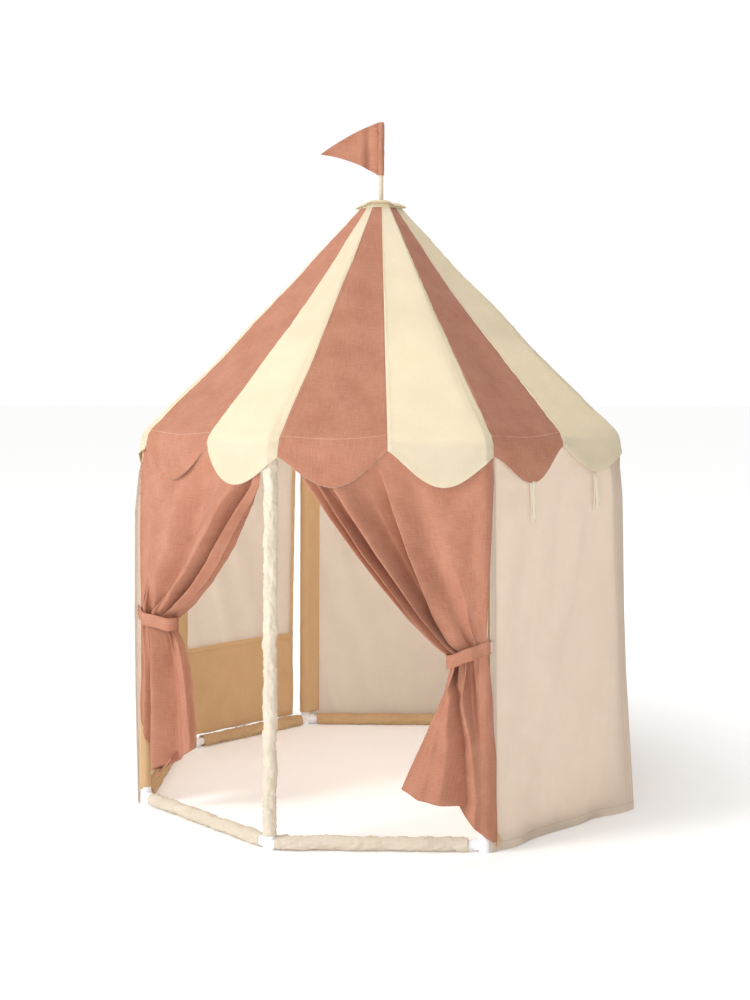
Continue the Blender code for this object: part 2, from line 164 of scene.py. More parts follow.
def put(name, verts, faces, corner_uv, finish):
    """Put a mesh in the scene as a piece of the tent, with its UV map, slot and finish."""
    mesh = bpy.data.meshes.new(name)
    mesh.from_pydata(verts.tolist(), [], faces.tolist())
    mesh.uv_layers.new(name="cloth").data.foreach_set("uv", corner_uv.astype(np.float32).ravel())
    mesh.shade_smooth()
    mesh.materials.append(finish)
    piece = bpy.data.objects.new(name, mesh)
    bpy.context.scene.collection.objects.link(piece)
    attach(piece, BODY)
    return piece


def facing(points, inside):
    """For a grid of points, 1 if its rows and columns turn outward from inside, or else -1."""
    normal = np.cross(np.gradient(points, axis=0), np.gradient(points, axis=1))
    away = points * np.array([1.0, 1.0, 0.0]) if inside is None else points - inside
    return 1.0 if np.sum(normal * away) > 0.0 else -1.0


def cloth(name, grids, finish, thick=CANVAS, inside=None, around=False):
    """A cloth from grids of points, each with its uv in metres of cloth. Its faces look away from inside, which
    is the tent's axis unless it is given, and its thickness grows inward. With around, the last column joins
    the first."""
    verts, faces, corner_uv = [], [], []
    start = 0
    for points, uv in grids:
        rows, columns = points.shape[:2]
        number = start + np.arange(rows * columns).reshape(rows, columns)
        start += rows * columns
        uv = np.stack(np.broadcast_arrays(*uv), axis=-1)
        if around:
            number = np.concatenate([number, number[:, :1]], axis=1)
            uv = np.concatenate([uv, 2.0 * uv[:, -1:] - uv[:, -2:-1]], axis=1)
        order = [number[:-1, :-1], number[1:, :-1], number[1:, 1:], number[:-1, 1:]]
        uv_order = [uv[:-1, :-1], uv[1:, :-1], uv[1:, 1:], uv[:-1, 1:]]
        if facing(points, inside) < 0.0:
            order, uv_order = order[::-1], uv_order[::-1]
        verts.append(points.reshape(-1, 3))
        faces.append(np.stack(order, axis=-1).reshape(-1, 4))
        corner_uv.append(np.stack(uv_order, axis=2).reshape(-1, 4, 2))
    piece = put(name, np.concatenate(verts), np.concatenate(faces), np.concatenate(corner_uv), finish)
    wall = piece.modifiers.new("cloth_thickness", "SOLIDIFY")
    wall.thickness = thick
    wall.offset = -1.0
    return piece


STITCH_PITCH = 0.0052
STITCH_LENGTH = 0.0036
STITCH_WIDTH = 0.0010


def run_on(points, row=None, column=None, inside=None):
    """One row or column of a grid as a seam to stitch: its points and the directions that face outward."""
    normal = unit(np.cross(np.gradient(points, axis=0), np.gradient(points, axis=1)))
    normal = normal * facing(points, inside)
    if row is None:
        return points[:, column], normal[:, column]
    return points[row], normal[row]


def stitches(name, runs, finish, node):
    """Rows of single stitches along seams. Each is a small pod of four rings, thick in the middle and dipping
    into the cloth at both ends. Real ones are 3 mm; these are drawn 5 mm apart so that they show."""
    turn = np.arange(4) * math.pi / 2.0
    ring = np.stack([0.0 * turn, np.cos(turn), 0.55 * np.sin(turn)], axis=-1) * STITCH_WIDTH / 2.0
    size = np.array([0.35, 1.0, 1.0, 0.35])[:, None, None]
    shift = np.array([[-0.5, 0.0, -0.25], [-0.25, 0.0, 0.25], [0.25, 0.0, 0.25], [0.5, 0.0, -0.25]])[:, None]
    pod = (ring * size + shift * np.array([STITCH_LENGTH, 1.0, STITCH_WIDTH])).reshape(-1, 3)
    steps = np.arange(4)
    band = np.stack([steps, (steps + 1) % 4, (steps + 1) % 4 + 4, steps + 4], axis=-1)
    band = np.concatenate([band, band + 4, band + 8])
    caps = np.array([[3, 2, 1, 0], [12, 13, 14, 15]])
    pod_faces = np.concatenate([band, caps])
    verts = []
    for path, normal in runs:
        reach = np.concatenate([[0.0], np.cumsum(np.linalg.norm(np.diff(path, axis=0), axis=-1))])
        middle = np.arange(STITCH_PITCH / 2.0, reach[-1] - STITCH_PITCH / 2.0, STITCH_PITCH)
        spot = np.stack([np.interp(middle, reach, path[:, axis]) for axis in range(3)], axis=-1)
        ahead = np.stack([np.interp(middle + 0.001, reach, path[:, axis]) for axis in range(3)], axis=-1)
        up = unit(np.stack([np.interp(middle, reach, normal[:, axis]) for axis in range(3)], axis=-1))
        along = unit(ahead - spot)
        across = np.cross(up, along)
        axes = np.stack([along, across, up], axis=1)
        verts.append((spot[:, None, :] + np.einsum("pk,nkj->npj", pod, axes)).reshape(-1, 3))
    verts = np.concatenate(verts)
    number = len(verts) // len(pod)
    faces = (pod_faces[None] + (np.arange(number) * len(pod))[:, None, None]).reshape(-1, 4)
    piece = put(name, verts, faces, verts[faces.ravel()][:, [0, 2]], finish)
    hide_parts(node)
    return piece


# Materials


def linear(hex_colour):
    """An sRGB hex colour as linear red, green and blue with full alpha."""
    parts = [int(hex_colour[place:place + 2], 16) / 255.0 for place in (0, 2, 4)]
    return [p / 12.92 if p <= 0.04045 else ((p + 0.055) / 1.055) ** 2.4 for p in parts] + [1.0]


def add(tree, kind, links=None, **settings):
    """Add one node with its own settings. links gives its inputs, each a value or the socket that feeds it."""
    made = tree.nodes.new(kind)
    for key, value in settings.items():
        setattr(made, key, value)
    for key, value in (links or {}).items():
        if isinstance(value, bpy.types.NodeSocket):
            tree.links.new(value, made.inputs[key])
        else:
            made.inputs[key].default_value = value
    return made


def empty_material(name):
    """A new material with an empty node tree and its output node."""
    made = bpy.data.materials.new(name)
    made.use_nodes = True
    made.node_tree.nodes.clear()
    return made, made.node_tree, add(made.node_tree, "ShaderNodeOutputMaterial")


THREAD_MM = 1.4
WAVE_SCALE = 1000.0 * 2.0 * math.pi / 20.0
SLUB_MM = (2.0, 34.0)
MOTTLE_MM = 70.0


def canvas(name, light, dark, glow, through):
    """Plain woven cotton canvas: matt, soft-edged, with thick and thin threads both ways and faint cloudy
    patches from handling. Real threads are about 0.5 mm; they are drawn at THREAD_MM so that they show. glow
    is the share of light that passes through the cloth, tinted by the colour through."""
    made, tree, output = empty_material(name)
    where = add(tree, "ShaderNodeUVMap", uv_map="cloth").outputs["UV"]
    threads = []
    slubs = []
    for across in (0, 1):
        fine, coarse = 1000.0 / SLUB_MM[0], 1000.0 / SLUB_MM[1]
        stretch = (fine, coarse, 1.0) if across == 0 else (coarse, fine, 1.0)
        place = add(tree, "ShaderNodeMapping", {"Vector": where, "Scale": stretch}).outputs["Vector"]
        slub = add(tree, "ShaderNodeTexNoise", {"Vector": place, "Scale": 1.0, "Detail": 2.0, "Roughness": 0.6})
        slubs.append(slub.outputs["Fac"])
        thread = add(tree, "ShaderNodeTexWave", {"Vector": where, "Scale": WAVE_SCALE / THREAD_MM,
                                                 "Distortion": 0.6, "Detail": 1.0, "Detail Scale": 2.0},
                     wave_type="BANDS", bands_direction="X" if across == 0 else "Y", wave_profile="SIN")
        threads.append(thread.outputs["Fac"])
    slub = add(tree, "ShaderNodeMath", {0: slubs[0], 1: slubs[1]}, operation="ADD").outputs["Value"]
    weave = add(tree, "ShaderNodeMath", {0: threads[0], 1: threads[1]}, operation="MULTIPLY").outputs["Value"]
    mottle = add(tree, "ShaderNodeTexNoise", {"Vector": where, "Scale": 1000.0 / MOTTLE_MM, "Detail": 3.0})
    cloudy = add(tree, "ShaderNodeMath", {0: slub, 1: mottle.outputs["Fac"]}, operation="ADD").outputs["Value"]
    share = add(tree, "ShaderNodeMapRange", {"Value": cloudy, "From Min": 1.15, "From Max": 1.85}).outputs["Result"]
    tint = add(tree, "ShaderNodeMix", {"Factor": share, 6: linear(light), 7: linear(dark)},
               data_type="RGBA").outputs[2]
    relief = add(tree, "ShaderNodeMath", {0: slub, 1: 0.8, 2: weave}, operation="MULTIPLY_ADD").outputs["Value"]
    raised = add(tree, "ShaderNodeBump", {"Height": relief, "Strength": 0.25, "Distance": 0.0005})
    rough = add(tree, "ShaderNodeMapRange", {"Value": slub, "From Min": 0.7, "From Max": 1.3,
                                             "To Min": 0.84, "To Max": 0.96}).outputs["Result"]
    surface = add(tree, "ShaderNodeBsdfPrincipled", {
        "Base Color": tint, "Roughness": rough, "Normal": raised.outputs["Normal"], "Specular IOR Level": 0.15,
        "Sheen Weight": 0.05, "Sheen Roughness": 0.5})
    lit = add(tree, "ShaderNodeBsdfTranslucent", {"Color": linear(through), "Normal": raised.outputs["Normal"]})
    both = add(tree, "ShaderNodeMixShader", {0: glow, 1: surface.outputs["BSDF"], 2: lit.outputs["BSDF"]})
    tree.links.new(both.outputs["Shader"], output.inputs["Surface"])
    return made


def plastic(name, colour, rough, grain):
    """Moulded or extruded plastic: an even colour, a soft gloss, and a faint orange-peel skin of grain mm."""
    made, tree, output = empty_material(name)
    where = add(tree, "ShaderNodeTexCoord").outputs["Object"]
    skin = add(tree, "ShaderNodeTexNoise", {"Vector": where, "Scale": 1000.0 / grain, "Detail": 2.0})
    gloss = add(tree, "ShaderNodeMapRange", {"Value": skin.outputs["Fac"], "To Min": rough - 0.06,
                                             "To Max": rough + 0.08}).outputs["Result"]
    raised = add(tree, "ShaderNodeBump", {"Height": skin.outputs["Fac"], "Strength": 0.15, "Distance": 0.0004})
    surface = add(tree, "ShaderNodeBsdfPrincipled", {
        "Base Color": linear(colour), "Roughness": gloss, "IOR": 1.5, "Normal": raised.outputs["Normal"]})
    tree.links.new(surface.outputs["BSDF"], output.inputs["Surface"])
    return made


def floor_paint():
    """Matt white studio floor that is lit from below, more so away from the tent, so that the floor runs into
    the white surround and only the soft shade under the tent shows on it."""
    made, tree, output = empty_material("matt_white_light_table")
    where = add(tree, "ShaderNodeTexCoord").outputs["Object"]
    far = add(tree, "ShaderNodeVectorMath", {0: where}, operation="LENGTH").outputs["Value"]
    glow = add(tree, "ShaderNodeMapRange", {"Value": far, "From Min": 0.62, "From Max": 1.9, "To Min": 0.12,
                                            "To Max": 0.50}, interpolation_type="SMOOTHSTEP").outputs["Result"]
    surface = add(tree, "ShaderNodeBsdfPrincipled", {
        "Base Color": linear("FAF9F8"), "Roughness": 0.9, "Specular IOR Level": 0.2,
        "Emission Color": (1.0, 1.0, 1.0, 1.0), "Emission Strength": glow})
    tree.links.new(surface.outputs["BSDF"], output.inputs["Surface"])
    return made


TERRACOTTA = canvas("terracotta_cotton_canvas", "BF8971", "AA725B", 0.08, "E3AC90")
CREAM = canvas("cream_cotton_canvas", "F3EBD4", "EADFC6", 0.45, "F9F2E0")
SLEEVE_CREAM = canvas("undyed_cream_canvas", "EEE5D5", "E3D6C1", 0.25, "EEDDC2")
BEIGE = canvas("light_beige_cotton_canvas", "EFE4D7", "E5D9CB", 0.55, "F6EFE6")
# Painted shade: this tan stands for the dimmer look of doubled cloth against the light, and of the sleeves and pole
# channels in the shade inside the tent. The small loop at corner C takes the same tan.
TAN_WITH_PAINTED_SHADE = canvas("tan_canvas_with_painted_shade", "EBCDA3", "E1BF92", 0.35, "F0D6B0")
TAPE = canvas("light_cotton_tape", "FBF6EA", "F1EADB", 0.45, "F8F2E4")
TAB = canvas("plain_cotton_tape", "E3C8C2", "D8BAB4", 0.20, "E0C0B8")
THREAD_PALE = plastic("pale_polyester_thread", "EFC9B8", 0.6, 0.8)
THREAD_RUST = plastic("rust_polyester_thread", "B5745A", 0.6, 0.8)
THREAD_BEIGE = plastic("beige_polyester_thread", "C7AF92", 0.6, 0.8)
THREAD_TAN = plastic("tan_polyester_thread", "B48A58", 0.6, 0.8)
WHITE = plastic("white_moulded_plastic", "F1F1F3", 0.38, 3.0)
STAFF = plastic("cream_coated_rod", "CDBFA6", 0.5, 2.0)


# The roof

CROWN_RADIUS = 0.050
CROWN_Z = 1.487
EAVE_TURN_RADIUS = 0.060
EAVE_TURN_CENTRE = (0.5745, 0.8781)
EAVE_START_Z = EAVE_TURN_CENTRE[1] + EAVE_TURN_RADIUS * math.sin(math.pi / 4.0)
EAVE_START_RADIUS = EAVE_TURN_CENTRE[0] + EAVE_TURN_RADIUS * math.cos(math.pi / 4.0)
VALANCE_SPREAD = 0.073
SCALLOP_Z = 0.803
MID_NOTCH_Z = 0.883
HIP_NOTCH_Z = 0.869
SEAM_SHIFT = 0.10
# By gore from corner A round: how far a scallop leans towards its first seam, and how much shorter it hangs
HEM_SKEW = np.array([1.0, 0.84, 1.0, 1.0, 1.04, 1.0, 1.05, 0.95, 1.0, 1.04, 0.96, 1.0, 1.05, 0.95, 1.0, 1.04])
HEM_RISE = np.array([0.0, 0.0, 0.0, 0.0, 0.003, 0.018, 0.006, 0.0, 0.004, 0.0, 0.006, 0.002, 0.0, 0.005, 0.0, 0.004])
HEM_ROUND = np.array([1.4, 0.95, 1.2, 1.3, 1.4, 1.2, 1.4, 1.3, 1.4, 1.4, 1.3, 1.4, 1.4, 1.3, 1.4, 1.4])
SLOPE_LENGTH = 0.802


def roof_point(place, down, lift=0.0, longer=0.0):
    """Points of the roof cloth. place runs round the tent in half sides from corner A, and down runs from 0 at
    the crown over 1, where the eave starts to turn, to 2 at the hem of the scalloped edge.

    The slope is a straight line that sags inward along the hips and more between them. From the eave start the
    radius follows a circle until the cloth is upright, and then spreads a little. The hem's height falls from
    the notch at each seam as a half sine wave raised to HEM_ROUND. lift moves the cloth along its normal,
    and longer lets the hem hang lower."""
    side_place = place / 2.0
    share = side_place - np.floor(side_place)
    first = FIRST_ANGLE + STEP_ANGLE * np.floor(side_place)
    plan_x = np.cos(first) * (1.0 - share) + np.cos(first + STEP_ANGLE) * share
    plan_y = np.sin(first) * (1.0 - share) + np.sin(first + STEP_ANGLE) * share

    gore = place - SEAM_SHIFT
    number = np.mod(np.floor(gore), 16.0).astype(int)
    within = (gore - np.floor(gore)) ** HEM_SKEW[number]
    after_hip = np.mod(np.floor(gore), 2.0) < 0.5
    left = np.where(after_hip, HIP_NOTCH_Z, MID_NOTCH_Z)
    right = np.where(after_hip, MID_NOTCH_Z, HIP_NOTCH_Z)
    notch = left + (right - left) * within
    low_z = SCALLOP_Z + HEM_RISE[number]
    hem = notch + (low_z - notch) * np.sin(math.pi * within) ** HEM_ROUND[number] - longer

    slope = np.clip(down, 0.0, 1.0)
    fall = np.clip(down - 1.0, 0.0, 1.0)
    height = np.where(down < 1.0, CROWN_Z + (EAVE_START_Z - CROWN_Z) * slope,
                      EAVE_START_Z + (hem - EAVE_START_Z) * fall)
    above = np.clip(height - EAVE_TURN_CENTRE[1], 0.0, EAVE_TURN_RADIUS * math.sin(math.pi / 4.0))
    below = np.maximum(EAVE_TURN_CENTRE[1] - height, 0.0)
    turned = EAVE_TURN_CENTRE[0] + np.sqrt(EAVE_TURN_RADIUS ** 2 - above ** 2) + VALANCE_SPREAD * below
    straight = CROWN_RADIUS + (EAVE_START_RADIUS - CROWN_RADIUS) * slope
    radius = np.where(down < 1.0, straight, turned)

    to_hip = np.minimum(share, 1.0 - share)
    to_seam = np.minimum(within, 1.0 - within)
    sag = np.sin(math.pi * slope) * (0.0055 + 0.0070 * np.sin(math.pi * share) ** 2)
    off_ring = 1.0 - smooth(0.88, 0.97, slope)
    sag = sag + 0.0022 * smooth(0.05, 0.3, slope) * off_ring * waves(11, 0.20, plan_x * radius, plan_y * radius)
    crease = 0.0030 * bump(to_hip, 0.0, 0.028) * smooth(0.3, 0.8, slope) * off_ring
    length = slope * SLOPE_LENGTH + fall * 0.1
    pucker = 0.0007 * np.exp(-to_seam / 0.07) * waves(13, 0.030, length + 0.0 * place, 0.4 * place)
    groove = 0.0011 * bump(to_seam, 0.0, 0.008) - 0.0006 * (1.0 - smooth(0.036, 0.044, within))
    inward = sag + crease + pucker + groove - lift
    flutter = fall * (0.0045 * np.sin(math.pi * within) - 0.002 + 0.0022 * waves(12, 0.5, place, 0.6 * fall))
    level = np.where(down < 1.0, math.sqrt(0.5), 1.0)
    radius = radius - level * inward + flutter
    height = height - math.sqrt(0.5) * inward * (down < 1.0)
    return np.stack([radius * plan_x, radius * plan_y, height], axis=-1)


GORE_ACROSS = np.concatenate([[0.0, 0.005, 0.012, 0.022, 0.034, 0.040, 0.046], np.linspace(0.08, 0.84, 14),
                              [0.87, 0.885, 0.9, 0.915, 0.93, 0.96, 0.98, 0.99, 0.995, 1.0]])
GORE_DOWN = np.concatenate([np.linspace(0.0, 1.0, 66), np.linspace(1.03, 1.9, 18),
                            [1.925, 1.945, 1.965, 1.98, 1.99, 2.0]])


def gore_grid(number, down=GORE_DOWN, lift=0.0, longer=0.0):
    """One gore from seam to seam, with uv as width from its middle and length down the cloth."""
    place, down = np.meshgrid(number + SEAM_SHIFT + GORE_ACROSS, down)
    points = roof_point(place, down, lift, longer)
    across = np.linalg.norm(np.diff(points, axis=1), axis=-1).cumsum(axis=1)
    across = np.concatenate([np.zeros((len(points), 1)), across], axis=1)
    length = np.linalg.norm(np.diff(points, axis=0), axis=-1).cumsum(axis=0)
    length = np.concatenate([np.zeros((1, points.shape[1])), length], axis=0)
    return points, (across - across[:, -1:] / 2.0 + 0.5 * number, length)


def roof():
    """Sixteen gores, terracotta and cream by turns, lined at the scalloped edge, with a line of stitches over
    the eave tube on the terracotta ones and a cream binding round the crown."""
    for first, slot, finish in ((0, "terracotta_cloth", TERRACOTTA), (1, "cream_cloth", CREAM)):
        name = "roof_gores_" + slot.split("_")[0]
        grids = [gore_grid(number) for number in range(first, 16, 2)]
        piece = cloth(name, grids, finish)
        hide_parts("roof_canopy")
    lining = [gore_grid(number, np.linspace(1.3, 2.0, 14), -0.0012, 0.0009) for number in range(16)]
    piece = cloth("valance_lining", lining, BEIGE, thick=0.0004)
    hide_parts("roof_canopy")

    eave_line = []
    for number in range(0, 16, 2):
        points, _ = gore_grid(number, np.array([1.06, 1.10, 1.14]))
        eave_line.append(run_on(points, row=1))
    stitches("eave_stitches", eave_line, THREAD_PALE, "roof_canopy")

    place, down = np.meshgrid(np.arange(0.0, 16.01, 0.25), np.linspace(-0.004, 0.014, 7))
    height = CROWN_Z + (EAVE_START_Z - CROWN_Z) * down
    rim = roof_point(place, np.maximum(down, 0.0), 0.0016)
    rim[..., 2] = height + 0.0012
    piece = cloth("crown_binding", [(rim, (place * 0.02, down * SLOPE_LENGTH))], CREAM, thick=0.001)
    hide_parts("roof_canopy")


CAP_HOLE = 0.0064
CAP_TOP_Z = 1.4945
CAP_RADIUS = 0.058
CAP_LOBE = 0.008
CAP_LOBES = 4
CAP_FIRST_CUSP = math.radians(-52.0)
CAP_LIFTS = np.array([0.005, 0.006, 0.004, 0.0165])


def roof_cap():
    """The collar over the crown: a disc that lies nearly flat on the crown hub and droops past the hub's rim, with
    four lobes along its edge that lift off the roof by different amounts, the front one most."""
    turn, share = np.meshgrid(np.linspace(0.0, 2.0 * math.pi, 181)[:-1],
                              np.concatenate([np.linspace(0.0, 0.9, 16), [0.93, 0.955, 0.98, 1.0]]))
    phase = (turn - CAP_FIRST_CUSP) / (2.0 * math.pi) * CAP_LOBES
    lobe = np.abs(np.sin(math.pi * phase)) ** 0.8
    lift = CAP_LIFTS[np.mod(np.floor(phase), CAP_LOBES).astype(int)]
    radius = CAP_HOLE + (CAP_RADIUS + CAP_LOBE * lobe - CAP_HOLE) * share
    past_hub = np.maximum(radius - 0.044, 0.0) / 0.022
    height = CAP_TOP_Z - 0.0015 * (radius / 0.045) ** 2 - 0.0125 * past_hub ** 1.3 + lift * lobe * smooth(0.6, 1.0, share)
    height = height + 0.0006 * waves(17, 0.030, radius * np.cos(turn), radius * np.sin(turn))
    height = height + 0.0005 * smooth(0.89, 0.92, share)
    points = np.stack([radius * np.cos(turn), radius * np.sin(turn), height], axis=-1)
    below = np.array([0.0, 0.0, CROWN_Z - 1.0])
    piece = cloth("roof_cap_collar", [(points, (points[..., 0], points[..., 1]))], CREAM,
                  thick=0.0015, inside=below, around=True)
    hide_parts("roof_cap")


# Tubes of cloth


def tube_axes(start, end):
    """Length of the line from start to end, its direction, and two directions square to it."""
    axis = end - start
    length = float(np.linalg.norm(axis))
    axis = axis / length
    helper = np.array([0.0, 0.0, 1.0]) if abs(axis[2]) < 0.9 else np.array([1.0, 0.0, 0.0])
    one = unit(np.cross(axis, helper))
    return length, axis, one, np.cross(axis, one)


def ruched_tube(name, start, end, radius, finish, seed, node, gather=1.0, twist=14.0, pressed=None,
                core=0.0):
    """A sewn channel pushed up a little on its tube. Its radius swells and pinches in folds that wind round
    the tube: soft waves over the length and over the round direction, turned by twist radians a metre. pressed
    is a direction in which a panel holds it flat, core is the radius of the tube inside, whose end sockets are
    wider, and nothing goes below the floor."""
    length, axis, one, two = tube_axes(start, end)
    turn, down = np.meshgrid(np.linspace(0.0, 2.0 * math.pi, 33)[:-1], np.linspace(0.0, length, int(length / 0.004)))
    wound = turn + twist * down
    round_x, round_y = np.cos(wound), np.sin(wound)
    fold = waves(seed, 1.1, down / 0.050, round_x, round_y)
    pinch = creases(seed + 1, 1.0, down / 0.032, round_x, round_y, sharp=0.22)
    small = waves(seed + 2, 0.7, down / 0.014, round_x, round_y)
    ridge = creases(seed + 5, 1.0, down / 0.026, round_x, round_y, sharp=0.20)
    reach = radius + gather * (0.0008 * fold - 0.0014 * pinch + 0.0011 * ridge + 0.0004 * small)
    reach = reach + 0.0010 * bump(np.mod(turn + 0.3 * np.sin(down / 0.11 + seed), 2.0 * math.pi), 4.4, 0.10)
    reach = reach - 0.0008 * bump(down, 0.0, 0.004) - 0.0008 * bump(down, length, 0.004)
    to_end = np.minimum(down, length - down)
    reach = np.maximum(reach, core + 0.0023 * (core > 0.0) + 0.0018 * smooth(0.030, 0.018, to_end) * (core > 0.0))
    ring = np.cos(turn)[..., None] * one + np.sin(turn)[..., None] * two
    sway = gather * 0.0008 * waves(seed + 3, 0.12, down)
    spine = start + down[..., None] * axis
    points = spine + (reach + sway * np.cos(turn - seed))[..., None] * ring
    if pressed is not None:
        over = np.maximum((points - spine) @ pressed - 0.0152, 0.0)
        points = points - over[..., None] * pressed
    points[..., 2] = np.maximum(points[..., 2], FLOOR_CLEAR)
    piece = cloth(name, [(points, (turn * radius, down))], finish, thick=0.0006, inside=spine, around=True)
    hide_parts(node)
    return piece


# The flag

FLAG_TOP = 1.706
FLAG_FOOT = 1.568
FLAG_TIP_Z = 1.624
FLAG_LENGTH = 0.149
FLAG_SLEEVE = 0.0080


def flag():
    """The pennant: straight lines from hoist to tip, both bowed upward as 4 s (1 - s), and a soft upright fold
    near the hoist."""
    across, down = np.meshgrid(np.concatenate([np.linspace(0.0, 0.95, 48), [0.97, 0.985, 1.0]]),
                               ticks(1.0, 0.035, 0.05))
    bow = 4.0 * across * (1.0 - across)
    top = FLAG_TOP + (FLAG_TIP_Z + 0.0012 - FLAG_TOP) * across + 0.007 * bow
    low = FLAG_FOOT + (FLAG_TIP_Z - 0.0012 - FLAG_FOOT) * across + 0.010 * bow
    z = top + (low - top) * down
    x = -FLAG_SLEEVE + 0.0012 - FLAG_LENGTH * across
    edge = np.minimum(down, 1.0 - down) * (top - low)
    y = 0.0065 * bump(across, 0.17, 0.055) - 0.0045 * bump(across, 0.30, 0.08) + 0.004 * np.sin(2.6 * across)
    y = y * (0.5 + 0.5 * down) - 0.0006 * (edge < 0.006) + 0.0008 * waves(19, 0.05, x, z)
    points = np.stack([x, y, z], axis=-1)
    back = np.array([-0.07, 1.0, 1.64])
    piece = cloth("flag_pennant", [(points, (x, z))], TERRACOTTA, thick=0.0011, inside=back)
    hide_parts("flag")
    foot, top_end = np.array([0.0, 0.0, FLAG_FOOT]), np.array([0.0, 0.0, FLAG_TOP])
    ruched_tube("flag_hoist_sleeve", foot, top_end, 0.0076, TERRACOTTA, 23, "flag", gather=0.4)


# The curtains

CURTAIN_TOP = 0.876
CURTAIN_ROWS = np.concatenate([np.linspace(0.0, 0.5, 68), np.linspace(0.5, 1.0, 54)[1:]])
CURTAIN_COLUMNS = np.concatenate([[0.0, 0.006, 0.016, 0.022], np.linspace(0.03, 0.5, 66), np.linspace(0.5, 0.965, 100)[1:],
                                  [0.969, 0.973, 0.979, 0.986, 0.994, 1.0]])
RIGHT_DEPTHS = ([0.0, 0.10, 0.30, 0.42, 0.50, 0.635, 0.74, 0.80, 0.876],
                [0.0120, 0.0150, 0.0150, 0.0130, 0.0160, 0.0200, 0.0140, 0.0065, 0.0020])
LEFT_DEPTHS = ([0.0, 0.10, 0.30, 0.43, 0.50, 0.64, 0.74, 0.80, 0.876],
               [0.0120, 0.0170, 0.0190, 0.0150, 0.0160, 0.0190, 0.0150, 0.0070, 0.0020])

# Right curtain: distance of its pole edge and free edge from the pole axis by height, and its hem's height by
# share of the width
RIGHT_NEAR = ([0.0, 0.192, 0.252, 0.312, 0.372, 0.417, 0.462, 0.552, 0.672, 0.847],
              [-0.031, -0.033, -0.0245, -0.023, -0.014, -0.008, -0.005, -0.0095, -0.019, -0.031])
RIGHT_FAR = ([0.121, 0.178, 0.232, 0.287, 0.335, 0.386, 0.410, 0.437, 0.497, 0.569, 0.647, 0.732, 0.813, 0.876],
             [0.183, 0.158, 0.133, 0.109, 0.088, 0.074, 0.074, 0.108, 0.169, 0.229, 0.289, 0.349, 0.403, 0.445])
RIGHT_HEM = ([0.0, 0.07, 0.15, 0.24, 0.30, 0.36, 0.46, 0.63, 0.83, 1.0],
             [0.008, 0.008, 0.022, 0.040, 0.060, 0.088, 0.082, 0.093, 0.100, 0.121])
LEFT_NEAR = ([0.137, 0.191, 0.237, 0.306, 0.402, 0.484, 0.648, 0.876],
             [0.030, 0.003, 0.000, 0.004, 0.002, 0.001, -0.008, -0.004])
LEFT_FAR = ([0.143, 0.168, 0.225, 0.290, 0.341, 0.393, 0.436, 0.453, 0.497, 0.549, 0.599, 0.668, 0.723, 0.784, 0.876],
            [0.176, 0.180, 0.172, 0.160, 0.148, 0.133, 0.106, 0.110, 0.178, 0.240, 0.284, 0.336, 0.384, 0.438, 0.464])
LEFT_HEM = ([0.0, 0.25, 0.33, 0.60, 1.0],
            [0.182, 0.122, 0.082, 0.106, 0.148])


# Folds of a curtain as marks across its width, from the pole edge 0 to the free edge 1. Each mark gives its
# place at the heights in LEVELS, and how far it stands out and leans to the free edge as shares of the depth
RIGHT_LEVELS = [0.43, 0.506, 0.635, 0.79]
RIGHT_FOLDS = (
    ((0.00, 0.00, 0.00, 0.00), 0.00, 0.0),
    ((0.22, 0.22, 0.31, 0.30), 0.30, 0.0),
    ((0.42, 0.38, 0.44, 0.43), -0.30, 0.0),
    ((0.54, 0.565, 0.570, 0.57), 1.00, 0.6),
    ((0.62, 0.635, 0.620, 0.62), -2.30, -0.9),
    ((0.68, 0.70, 0.70, 0.70), -1.50, -0.3),
    ((0.77, 0.785, 0.82, 0.86), 0.90, 0.3),
    ((0.83, 0.85, 0.890, 0.91), -1.50, -0.5),
    ((0.89, 0.895, 0.925, 0.935), 0.60, 0.3),
    ((0.93, 0.925, 0.95, 0.955), -1.50, -0.4),
    ((1.00, 1.00, 1.00, 1.00), -0.50, 0.0),
)
RIGHT_LOW_LEVELS = [0.083, 0.10, 0.169, 0.228, 0.271, 0.314, 0.357, 0.40]
RIGHT_LOW_FOLDS = (
    ((0.00, 0.00, 0.00, 0.00, 0.00, 0.00, 0.00, 0.00), 0.00, 0.0),
    ((0.06, 0.07, 0.10, 0.12, 0.15, 0.18, 0.20, 0.20), 0.40, 0.0),
    ((0.12, 0.13, 0.18, 0.23, 0.30, 0.38, 0.44, 0.44), -1.20, 0.0),
    ((0.24, 0.24, 0.30, 0.37, 0.46, 0.58, 0.68, 0.72), 0.90, 0.2),
    ((0.36, 0.36, 0.41, 0.48, 0.56, 0.67, 0.79, 0.84), -2.60, 0.8),
    ((0.46, 0.46, 0.50, 0.57, 0.65, 0.76, 0.87, 0.91), -1.20, -1.5),
    ((0.62, 0.62, 0.65, 0.71, 0.78, 0.87, 0.94, 0.955), 1.10, 0.0),
    ((0.80, 0.80, 0.82, 0.86, 0.90, 0.94, 0.97, 0.98), 0.30, 0.0),
    ((1.00, 1.00, 1.00, 1.00, 1.00, 1.00, 1.00, 1.00), -0.70, 0.0),
)
LEFT_LEVELS = [0.47, 0.547, 0.642, 0.79]
LEFT_FOLDS = (
    ((0.00, 0.00, 0.00, 0.00), 0.00, 0.0),
    ((0.22, 0.27, 0.36, 0.36), 0.55, 0.0),
    ((0.42, 0.47, 0.53, 0.55), -1.40, 0.2),
    ((0.70, 0.75, 0.82, 0.83), 1.10, -0.2),
    ((0.79, 0.83, 0.90, 0.905), -3.00, 0.2),
    ((0.84, 0.88, 0.925, 0.93), -2.80, 0.3),
    ((0.92, 0.94, 0.965, 0.97), 0.40, -0.3),
    ((1.00, 1.00, 1.00, 1.00), -0.90, 0.0),
)
LEFT_LOW_LEVELS = [0.10, 0.19, 0.31, 0.43]
